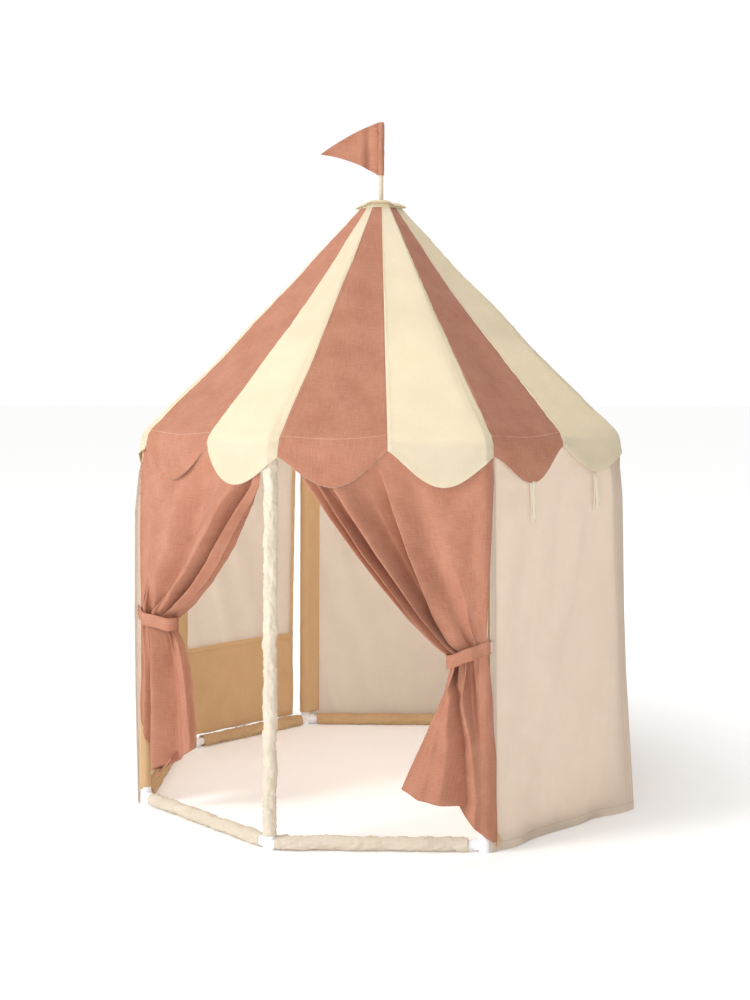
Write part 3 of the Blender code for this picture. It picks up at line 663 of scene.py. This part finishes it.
LEFT_LOW_FOLDS = (
    ((0.00, 0.00, 0.00, 0.00), -0.80, 0.0),
    ((0.12, 0.12, 0.13, 0.16), 0.50, 0.0),
    ((0.30, 0.32, 0.36, 0.38), -2.80, 0.2),
    ((0.38, 0.41, 0.46, 0.48), 1.20, 0.0),
    ((0.66, 0.64, 0.64, 0.64), -1.70, 0.2),
    ((0.84, 0.82, 0.82, 0.82), -0.90, 0.2),
    ((0.92, 0.92, 0.92, 0.92), -1.10, 0.2),
    ((1.00, 1.00, 1.00, 1.00), -2.20, -0.2),
)


def pleats(share, v, levels, folds):
    """Height and lean of the folds: smooth steps from each mark to the next, with the marks moved by height."""
    height, lean = folds[0][1], folds[0][2]
    for (places, one, one_lean), (next_places, two, two_lean) in zip(folds, folds[1:]):
        step = smooth(np.interp(v, levels, places), np.interp(v, levels, next_places), share)
        height = height + (two - one) * step
        lean = lean + (two_lean - one_lean) * step
    return height, lean


def curtain(name, index, end, near, far, hem, waist, upper, lower, depths, seed, node):
    """A doorway curtain gathered at its tie. Rows run from the eave through the waist to the hem, and columns
    from the pole edge to the free edge. Its folds stand out from the hanging line by the pleats of its upper
    and lower part times a depth that grows with the slack of the cloth, and close pleats crowd at the waist."""
    share, row = np.meshgrid(CURTAIN_COLUMNS, CURTAIN_ROWS)
    waist_v = waist[0] + (waist[1] - waist[0]) * share
    hem_v = np.interp(share, *hem)
    v = np.where(row <= 0.5, CURTAIN_TOP + (waist_v - CURTAIN_TOP) * row * 2.0,
                 waist_v + (hem_v - waist_v) * (row - 0.5) * 2.0)
    near_edge = np.interp(v[:, :1], *near)
    width = np.interp(v[:, -1:], *far) - near_edge
    reach = near_edge + width * share

    below = smooth(0.475, 0.525, row)
    height, lean = pleats(share, v, *upper)
    low_height, low_lean = pleats(share, v, *lower)
    height = height + (low_height - height) * below
    lean = lean + (low_lean - lean) * below
    gathered = bump(v, waist_v, 0.075)
    crowd = 2.0 * math.pi * 5.5 * share + 2.0 * waves(seed + 1, 0.35, share, 0.5 * v)
    height = height + 0.45 * gathered * np.sin(crowd)
    lean = lean * (1.2 + (1.5 - 2.3 * below) * bump(v, waist_v, 0.13))
    clear = smooth(0.004, 0.030, reach)
    depth = np.interp(v, *depths) * clear
    crumple = 0.0012 * waves(seed + 2, 0.085, reach, 0.45 * v) + 0.0005 * waves(seed + 3, 0.030, reach, v)
    rest = 0.0186 - 0.0030 * clear + 0.0035 * (1.0 - smooth(0.02, 0.12, v)) * (1.0 - below * smooth(0.25, 0.5, share))
    hem_lift = 0.0007 * (np.minimum(share, 1.0 - share) < 0.025)
    w = rest + depth * height + clear * crumple + hem_lift
    w = w + (0.0148 - w) * smooth(0.80, 0.84, v)
    w = np.where(v < 0.03, np.maximum(w, 0.0172), w)
    reach = reach + depth * (lean + 0.4 * gathered * np.cos(crowd))
    sign = 1.0 if end == 1 else -1.0
    points = on_side(index, sign * (SIDES[index].half(v) - reach), v, w)
    points[..., 2] = np.maximum(points[..., 2], FLOOR_CLEAR)
    cut = 0.49
    grids = [(points, (share * cut, CURTAIN_TOP - v))]
    if end == 0:
        across, down = np.meshgrid(np.linspace(0.0, 1.0, 16), np.linspace(0.0, 1.0, 24))
        tip_v = 0.20 - down * (0.145 - 0.060 * across)
        tip_reach = 0.050 + 0.058 * across + 0.010 * down
        tip_w = -0.0300 + 0.044 * smooth(0.55, 1.0, down) + 0.003 * np.sin(5.0 * across)
        tip = on_side(index, sign * (SIDES[index].half(tip_v) - tip_reach), tip_v, tip_w)
        grids.append((tip, (across * 0.06, down * 0.14)))
    piece = cloth(name, grids, TERRACOTTA)
    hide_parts(node)
    runs = [run_on(points, column=3), run_on(points, column=-6)]
    stitches(name + "_stitches", runs, THREAD_RUST, node)


def tie_band(name, index, end, far, heights, node):
    """A flat band round the waist of a curtain, 30 mm wide. Its path starts round the corner outside the pole
    channel, runs along the front of the gathered cloth, round its free edge in a half circle, and back behind
    it to the pole."""
    front, back = 0.0340, -0.0042
    bend = (front - back) / 2.0
    straight = far - bend
    path = np.linspace(0.0, 1.0, 100)
    swing = np.clip((path - 0.42) / 0.24, 0.0, 1.0) * math.pi
    reach = np.where(path < 0.42, np.interp(path, [0.0, 0.42], [-0.016, straight]),
                     np.where(path < 0.66, straight + bend * np.sin(swing),
                              np.interp(path, [0.66, 1.0], [straight, 0.014])))
    over = 0.0208 + (front - 0.0208) * smooth(-0.002, 0.030, reach)
    w = np.where(path < 0.42, over, np.where(path < 0.66, back + bend + bend * np.cos(swing), back))
    w = w + 0.0008 * np.sin(math.pi * np.clip(path / 0.42, 0.0, 1.0)) * np.sin(path * 26.0)
    middle = np.interp(reach, [-0.016, 0.030, far], heights)
    across = ticks(1.0, 0.2, 0.14)[:, None] - 0.5
    v = middle[None, :] + across * 0.030 + 0.0007 * np.sin(path * 25.0)[None, :]
    w = w[None, :] + 0.0007 * np.cos(across * math.pi) + 0.0005 * waves(31, 0.15, path[None, :], 0.3 * across)
    reach = np.broadcast_to(reach[None, :], v.shape)
    sign = 1.0 if end == 1 else -1.0
    side = SIDES[index]
    points = on_side(index, sign * (side.half(v) - reach), v, w)
    centre = on_side(index, sign * (side.half(v) - 0.5 * far), v, 0.0150 + 0.0 * v)
    piece = cloth(name, [(points, (path[None, :] * 0.20, across * 0.030))], TERRACOTTA,
                  thick=BINDING, inside=centre)
    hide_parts(node)
    runs = [run_on(points, row=2, inside=centre), run_on(points, row=-3, inside=centre)]
    stitches(name + "_stitches", runs, THREAD_RUST, node)

    tab_u = sign * (side.half(heights[0]) + 0.0120)
    tall, wide = np.meshgrid(np.linspace(-0.0115, 0.0115, 8), np.linspace(0.0, 0.007, 5), indexing="ij")
    tab = on_side(index, tab_u + sign * wide, heights[0] + tall, 0.0226 + 0.0009 * np.sin(wide / 0.007 * math.pi))
    piece = cloth(name + "_plain_tab", [(tab, (wide, tall))], TAB, thick=0.0010)
    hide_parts(node)


# The walls

WALL_OFF = 0.0168
WALL_TOP = 0.876
WALL_FOOT = -0.0150
WALL_HEM = 0.020
SEAM_HALF_ARC = CORNER_ARC / 2.0

# How far the canvas stands off its poles, by height, where two walls meet
CORNER_FLARE = {
    "c": ([0.0, 0.876], [0.000, 0.000]),
    "d": ([0.0, 0.1, 0.2, 0.3, 0.45, 0.74, 0.82], [0.027, 0.022, 0.017, 0.012, 0.008, 0.006, 0.0]),
    "e": ([0.0, 0.2, 0.5, 0.74, 0.82], [0.013, 0.008, 0.004, 0.003, 0.0]),
    "f": ([0.0, 0.2, 0.5, 0.74, 0.82], [0.008, 0.006, 0.004, 0.003, 0.0]),
    "g": ([0.0, 0.2, 0.5, 0.74, 0.82], [0.010, 0.006, 0.005, 0.003, 0.0]),
    "h": ([0.0, 0.2, 0.5, 0.74, 0.82], [0.006, 0.007, 0.006, 0.003, 0.0]),
    "a": ([0.0, 0.1, 0.25, 0.45, 0.70, 0.80, 0.83], [0.002, 0.005, 0.010, 0.014, 0.015, 0.006, 0.0]),
}


def wall_off(v):
    """How far a wall stands off its tube axes: a little closer under the roof's edge."""
    return WALL_OFF - 0.0034 * smooth(0.79, 0.84, v)


def wall_grid(index, seed, first_edge, second_edge, foot):
    """A wall panel outside the tubes. It stands WALL_OFF from the tube axes, lifts off the poles by
    CORNER_FLARE, dying away along the wall, and hangs between them in soft upright folds that grow towards the
    floor."""
    side = SIDES[index]
    down = ticks(WALL_TOP - foot, 0.012, WALL_HEM)
    share, down = np.meshgrid(ticks(1.0, 0.016, 0.04), down)
    v = WALL_TOP - down
    first, second = CORNERS[index], CORNERS[(index + 1) % 8]
    left = -side.half(v) - np.interp(v, [0.0, 0.30, 0.876], first_edge)
    right = side.half(v) + second_edge
    u = left + (right - left) * share
    low = smooth(0.0, 0.75, down)
    hang = smooth(0.0, 0.16, share) * smooth(0.0, 0.16, 1.0 - share)
    fold = waves(seed, 0.14, u - 0.34 * v, 0.08 * v) + 0.5 * waves(seed + 1, 0.09, u, 0.05 * v)
    bell = 0.0040 * (0.3 + 0.7 * low) + 0.0105 * fold * (0.9 - 0.55 * low) + 0.0008 * waves(seed + 2, 0.05, u, v)
    lift = np.interp(v, *CORNER_FLARE[first]) * np.exp(-(np.abs(u - left) / 0.075) ** 1.5)
    lift = lift + np.interp(v, *CORNER_FLARE[second]) * np.exp(-(np.abs(right - u) / 0.075) ** 1.5)
    to_edge = np.minimum(u - left, right - u)
    hem = 0.0006 * (np.minimum(to_edge, v - foot) < WALL_HEM * 0.96)
    w = wall_off(v) + np.maximum(bell * hang, -0.0008) * smooth(0.795, 0.70, v) + lift + hem
    points = on_side(index, u, v, w)
    points[..., 2] = np.maximum(points[..., 2], FLOOR_CLEAR)
    return points, (u, down)


def wall(index, seed, first_edge=3 * (SEAM_HALF_ARC,), second_edge=SEAM_HALF_ARC, foot=WALL_FOOT):
    """One wall with its hem and edge stitches. The two pairs of tape ties that hold it when rolled up are made apart,
    by tape_ties.
    """
    name = "wall_" + CORNERS[index] + CORNERS[(index + 1) % 8]
    points, uv = wall_grid(index, seed, first_edge, second_edge, foot)
    piece = cloth(name + "_panel", [(points, uv)], BEIGE)
    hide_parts(name)
    runs = [run_on(points, column=2), run_on(points, column=4), run_on(points, column=-3), run_on(points, column=-5),
            run_on(points, row=-5)]
    stitches(name + "_stitches", runs, THREAD_BEIGE, name)


TIE_TOP = 0.828


def tape_ties(index, places):
    """Pairs of narrow tapes hung from the wall's top: flat ribbons that sway a little as they fall, one in
    front of the other, each ending in a small crosswise knot."""
    name = "wall_" + CORNERS[index] + CORNERS[(index + 1) % 8]
    grids = []
    for place, foot_v in places:
        for layer, aside, longer in ((0, 0.0, 0.0), (1, -0.004, 0.006)):
            across, down = np.meshgrid(np.linspace(-0.5, 0.5, 7), np.linspace(0.0, 1.0, 36))
            v = TIE_TOP + (foot_v - longer - TIE_TOP) * down
            knot = bump(down, 0.985, 0.014)
            wide = 0.0108 * (1.0 + 0.45 * knot)
            sway = 0.0022 * np.sin(3.0 * down + place * 40.0 + layer) * down
            u = place + aside * (1.0 - layer * 0.5 * down) + sway + across * wide
            w = WALL_OFF + 0.0098 - 0.0035 * layer + 0.0016 * np.cos(across * 3.0) * (1.0 + knot)
            w = w + 0.0012 * np.sin(9.0 * down + 3.0 * layer) * down + 0.0010 * knot
            w = np.minimum(w, 0.0172 + 0.012 * smooth(0.815, 0.780, v) - 0.0016 * layer)
            grids.append((on_side(index, u, v, w), (across * 0.0108, down * 0.11)))
    piece = cloth(name + "_tape_ties", grids, TAPE, thick=0.0006)
    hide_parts(name)


def corner_loop():
    """The small loop of tan tape sewn in at the foot of wall CD, near corner C: a strip that bows outward."""
    across, down = np.meshgrid(np.linspace(-0.5, 0.5, 5), np.linspace(0.0, 1.0, 16))
    v = 0.021 - 0.027 * down
    u = 0.023 - SIDES[2].half(v) + 0.010 * across
    w = WALL_OFF + 0.0015 + 0.0050 * np.sin(math.pi * down)
    piece = cloth("wall_cd_corner_loop", [(on_side(2, u, v, w), (across * 0.010, down * 0.03))], TAN_WITH_PAINTED_SHADE)
    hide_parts("wall_cd")


def pole_channel(index, end, own_reach, seed, finish, node, radius=0.0118):
    """The flat channel that holds a pole: doubled cloth from own_reach inside the wall, straight to the pole,
    round its inner half, and back to the wall at the corner."""
    start = math.atan2(WALL_OFF - 0.0022, own_reach)
    distance = math.hypot(own_reach, WALL_OFF - 0.0022)
    touch = start - math.acos(radius / distance)
    flat = np.linspace(0.0, 1.0, 12)
    arc = touch + (-math.pi - touch) * np.linspace(0.0, 1.0, 14)[1:]
    back = np.linspace(0.0, 1.0 if end == 1 else 0.35, 6)[1:]
    first_u = own_reach + (radius * math.cos(touch) - own_reach) * flat
    first_w = (WALL_OFF - 0.0022) + (radius * math.sin(touch) - WALL_OFF + 0.0022) * flat
    reach = np.concatenate([first_u, radius * np.cos(arc), -radius + 0.0 * back])
    depth = np.concatenate([first_w, radius * np.sin(arc), (WALL_OFF - 0.0040) * back])
    slack = np.concatenate([np.sin(math.pi * flat), 0.25 + 0.0 * arc, 0.25 + 0.0 * back])
    v = np.linspace(0.022, 0.866, 118)[:, None]
    place = np.arange(len(reach)) * 0.004
    wrinkle = 0.0012 * waves(seed, 0.050, v, place[None, :]) + 0.0010 * creases(seed + 1, 0.06, v, place[None, :])
    reach, depth = np.broadcast_arrays(reach[None, :], depth[None, :] - slack[None, :] * np.maximum(wrinkle, -0.0008))[0:2]
    reach = reach + 0.0 * v
    reach = np.where(depth < 0.0, reach * (1.0 + 0.04 * waves(seed + 2, 0.07, v)), reach)
    reach = np.maximum(reach, -radius - 0.0008)
    side = SIDES[index]
    sign = 1.0 if end == 1 else -1.0
    u = sign * (side.half(v) - reach)
    axis = side.origin + sign * side.half(v)[..., None] * side.along + v[..., None] * side.up
    inward = side.origin * 0.0 + axis + (u - sign * side.half(v))[..., None] * side.along + depth[..., None] * side.out
    piece = cloth("pole_channel_" + CORNERS[(index + end) % 8], [(inward, (place[None, :] * 1.0, v))], finish,
                  inside=axis)
    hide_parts(node)


def walls():
    wall(2, 41, first_edge=3 * (-0.002,))
    wall(3, 44)
    wall(4, 47)
    wall(5, 50)
    wall(6, 53, first_edge=(-0.040, -0.037, -0.022), foot=0.014)
    wall(7, 56)
    tape_ties(2, ((-0.092, 0.708), (0.137, 0.718)))
    for index in range(3, 8):
        tape_ties(index, ((-0.115, 0.706 + 0.004 * index), (0.118, 0.735 - 0.005 * index)))
    for index, end, own_reach in ((2, 1, 0.030), (3, 1, 0.034), (4, 1, 0.036), (5, 1, 0.040), (6, 1, 0.047), (7, 1, 0.020),
                                  (2, 0, 0.024)):
        node = "wall_" + CORNERS[index] + CORNERS[(index + 1) % 8]
        # Painted shade: the doubled channels inside the tent take the tan canvas, whose tan stands for their shade.
        pole_channel(index, end, own_reach, 61 + 3 * index + end, TAN_WITH_PAINTED_SHADE, node,
                     radius=0.0165 if index == 5 else 0.0118)
    corner_loop()


def wall_pocket():
    """The low second layer inside wall GH, open at its top: a sheet that hangs a little off the wall, with a
    narrow doubled strip up the wall's free edge."""
    side = SIDES[6]
    share, down = np.meshgrid(ticks(1.0, 0.03, 0.03), ticks(0.246, 0.008, 0.014))
    v = 0.262 - down + 0.004 * np.sin(math.pi * share)
    left, right = -side.half(v) + 0.0402, side.half(v) - 0.020
    u = left + (right - left) * share
    belly = np.sin(math.pi * share) * np.sin(math.pi * np.clip(down / 0.246, 0.0, 1.0) * 0.8 + 0.5)
    w = WALL_OFF - 0.0042 - 0.0040 * np.maximum(belly, 0.0) - 0.0022 * np.abs(waves(71, 0.07, u + 0.2 * v, 0.3 * v))
    w = w - 0.0009 * (down < 0.0135)
    points = on_side(6, u, v, w)
    # Painted shade: the pocket is the walls' beige cloth, drawn in tan for the dimmer look of two layers against the
    # light.
    piece = cloth("wall_gh_pocket", [(points, (u, down))], TAN_WITH_PAINTED_SHADE)
    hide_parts("wall_gh")
    runs = [run_on(points, row=4, inside=2.0 * points), run_on(points, row=-4, inside=2.0 * points)]
    stitches("wall_gh_pocket_stitches", runs, THREAD_TAN, "wall_gh")
    share, v = np.meshgrid(np.linspace(0.0, 1.0, 5), np.linspace(0.016, 0.872, 120))
    u = -side.half(v) - np.interp(v, [0.0, 0.30, 0.876], (-0.0403, -0.0383, -0.0283)) + 0.011 * share
    points = on_side(6, u, v, WALL_OFF - 0.0030 + 0.0004 * waves(72, 0.05, v, u))
    # Painted shade: the doubled edge strip is drawn in tan for the same reason.
    piece = cloth("wall_gh_edge_strip", [(points, (u, v))], TAN_WITH_PAINTED_SHADE)
    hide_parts("wall_gh")


BASE_INSETS = {"ab": (0.030, 0.025), "bc": (0.0105, 0.036), "cd": (0.030, 0.030), "de": (0.030, 0.034),
               "ef": (0.034, 0.030), "fg": (0.032, 0.036), "gh": (0.022, 0.090), "ha": (0.034, 0.032)}


def sleeves():
    """The round pole sleeve of corner B and the gathered sleeves round the eight bottom tubes."""
    low = corner(1, BASE_RADIUS, BASE_AXIS_Z)
    rise = unit(corner(1, RING_RADIUS, RING_AXIS_Z) - low)
    ruched_tube("pole_sleeve_b_cloth", low + rise * 0.017, low + rise * 0.868, 0.0152, SLEEVE_CREAM, 90,
                "pole_sleeve_b", gather=1.6, twist=3.0, core=0.010)
    for index, letter in enumerate(CORNERS):
        name = letter + CORNERS[(index + 1) % 8]
        low, end = corner(index, BASE_RADIUS, BASE_AXIS_Z), corner(index + 1, BASE_RADIUS, BASE_AXIS_Z)
        along = unit(end - low)
        start, stop = low + along * BASE_INSETS[name][0], end - along * BASE_INSETS[name][1]
        if index < 2:
            ruched_tube("base_sleeve_" + name + "_cloth", start, stop, 0.0146, SLEEVE_CREAM, 100 + 7 * index,
                        "base_sleeve_" + name, gather=1.6, twist=20.0, core=0.010)
        else:
            # Painted shade: the sleeves under the walls lie in the tent's shade and take the tan canvas, while the
            # doorway's sleeves are cream.
            ruched_tube("base_sleeve_" + name + "_cloth", start, stop, 0.0160, TAN_WITH_PAINTED_SHADE, 100 + 7 * index,
                        "wall_" + name, gather=2.0 if name == "gh" else 1.0, pressed=SIDES[index].out, core=0.010)


# Plastic parts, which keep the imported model's shapes


def plastics():
    """White plastic on the tubes, connectors and ring, and a cream coat on the flagpole."""
    for name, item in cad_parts.items():
        if item.type == "MESH":
            item.data.materials.clear()
            item.data.materials.append(STAFF if name == "flagpole" else WHITE)


# Floor, light and camera


def floor():
    """A wide pale floor, far larger than what any view shows."""
    reach = 40.0
    verts = [(-reach, -reach, 0.0), (reach, -reach, 0.0), (reach, reach, 0.0), (-reach, reach, 0.0)]
    mesh = bpy.data.meshes.new("studio_floor")
    mesh.from_pydata(verts, [], [(0, 1, 2, 3)])
    mesh.materials.append(floor_paint())
    piece = bpy.data.objects.new("studio_floor", mesh)
    bpy.context.scene.collection.objects.link(piece)


def soft_light(name, place, aim, size, power):
    """A square studio light at a place, facing a point."""
    lamp = bpy.data.lights.new(name, "AREA")
    lamp.shape = "SQUARE"
    lamp.size = size
    lamp.energy = power
    item = bpy.data.objects.new(name, lamp)
    bpy.context.scene.collection.objects.link(item)
    x, y, z = np.subtract(aim, place)
    item.location = place
    item.rotation_euler = (math.atan2(math.hypot(x, y), -z), 0.0, math.atan2(y, x) - math.pi / 2.0)


SURROUND_LIGHT = 0.50
KEY_POWER = 140.0
FRONT_POWER = 26.0
TOP_POWER = 68.0
INSIDE_POWER = 4.0


def studio():
    """A white surround that is seen brighter than it lights, as behind a product picture, a key light high on
    the left, and two soft lights from the front and from above."""
    world = bpy.data.worlds.new("white_studio")
    bpy.context.scene.world = world
    world.use_nodes = True
    tree = world.node_tree
    tree.nodes.clear()
    surround = add(tree, "ShaderNodeBackground", {"Color": (1.0, 1.0, 1.0, 1.0), "Strength": SURROUND_LIGHT})
    backdrop = add(tree, "ShaderNodeBackground", {"Color": (1.0, 1.0, 1.0, 1.0), "Strength": 1.0})
    seen = add(tree, "ShaderNodeLightPath").outputs["Is Camera Ray"]
    both = add(tree, "ShaderNodeMixShader", {0: seen, 1: surround.outputs["Background"],
                                             2: backdrop.outputs["Background"]})
    add(tree, "ShaderNodeOutputWorld", {"Surface": both.outputs["Shader"]})
    soft_light("key_light", (-3.9, -2.3, 2.9), (0.0, 0.0, 0.6), 1.5, KEY_POWER)
    soft_light("front_light", (-0.2, -3.4, 0.9), (0.0, 0.0, 0.4), 1.6, FRONT_POWER)
    soft_light("top_light", (0.0, 0.0, 5.0), (0.0, 0.0, 0.0), 3.0, TOP_POWER)
    soft_light("inside_light", (0.0, 0.0, 1.15), (0.0, 0.0, 0.0), 0.4, INSIDE_POWER)
    bpy.context.scene.view_settings.view_transform = "Standard"


# The photograph's view: focal length in pixels, camera distance, height and sideways place, the small turn
# of the object towards it, and the pixel that its level axis passes through
FOCAL_PIXELS = 1450.97
CAMERA_BACK = 3.7772
CAMERA_HEIGHT = 1.059
CAMERA_ASIDE = -0.0442
CAMERA_TURN = 0.0286
AXIS_PIXEL = (364.1, 371.08)
IMAGE_SIZE = (750.0, 1000.0)


def camera():
    """A level camera whose image is shifted down, as in the photograph, so that uprights stay upright."""
    lens = bpy.data.cameras.new("photograph_view")
    lens.sensor_width = 36.0
    lens.lens = FOCAL_PIXELS * lens.sensor_width / IMAGE_SIZE[1]
    lens.shift_x = (IMAGE_SIZE[0] / 2.0 - AXIS_PIXEL[0]) / IMAGE_SIZE[1]
    lens.shift_y = (AXIS_PIXEL[1] - IMAGE_SIZE[1] / 2.0) / IMAGE_SIZE[1]
    item = bpy.data.objects.new("photograph_view", lens)
    bpy.context.scene.collection.objects.link(item)
    cos, sin = math.cos(CAMERA_TURN), math.sin(CAMERA_TURN)
    item.location = (cos * CAMERA_ASIDE + sin * CAMERA_BACK, sin * CAMERA_ASIDE - cos * CAMERA_BACK, CAMERA_HEIGHT)
    item.rotation_euler = (math.pi / 2.0, 0.0, CAMERA_TURN)
    bpy.context.scene.camera = item


camera()
roof()
roof_cap()
flag()
curtain("curtain_right_cloth", 1, 1, RIGHT_NEAR, RIGHT_FAR, RIGHT_HEM, (0.436, 0.404), (RIGHT_LEVELS, RIGHT_FOLDS),
        (RIGHT_LOW_LEVELS, RIGHT_LOW_FOLDS), RIGHT_DEPTHS, 21, "curtain_right")
curtain("curtain_left_cloth", 0, 0, LEFT_NEAR, LEFT_FAR, LEFT_HEM, (0.450, 0.441), (LEFT_LEVELS, LEFT_FOLDS),
        (LEFT_LOW_LEVELS, LEFT_LOW_FOLDS), LEFT_DEPTHS, 25, "curtain_left")
tie_band("tieback_right_band", 1, 1, 0.083, (0.437, 0.424, 0.404), "tieback_right")
tie_band("tieback_left_band", 0, 0, 0.138, (0.456, 0.444, 0.441), "tieback_left")
walls()
wall_pocket()
sleeves()
plastics()
floor()
studio()
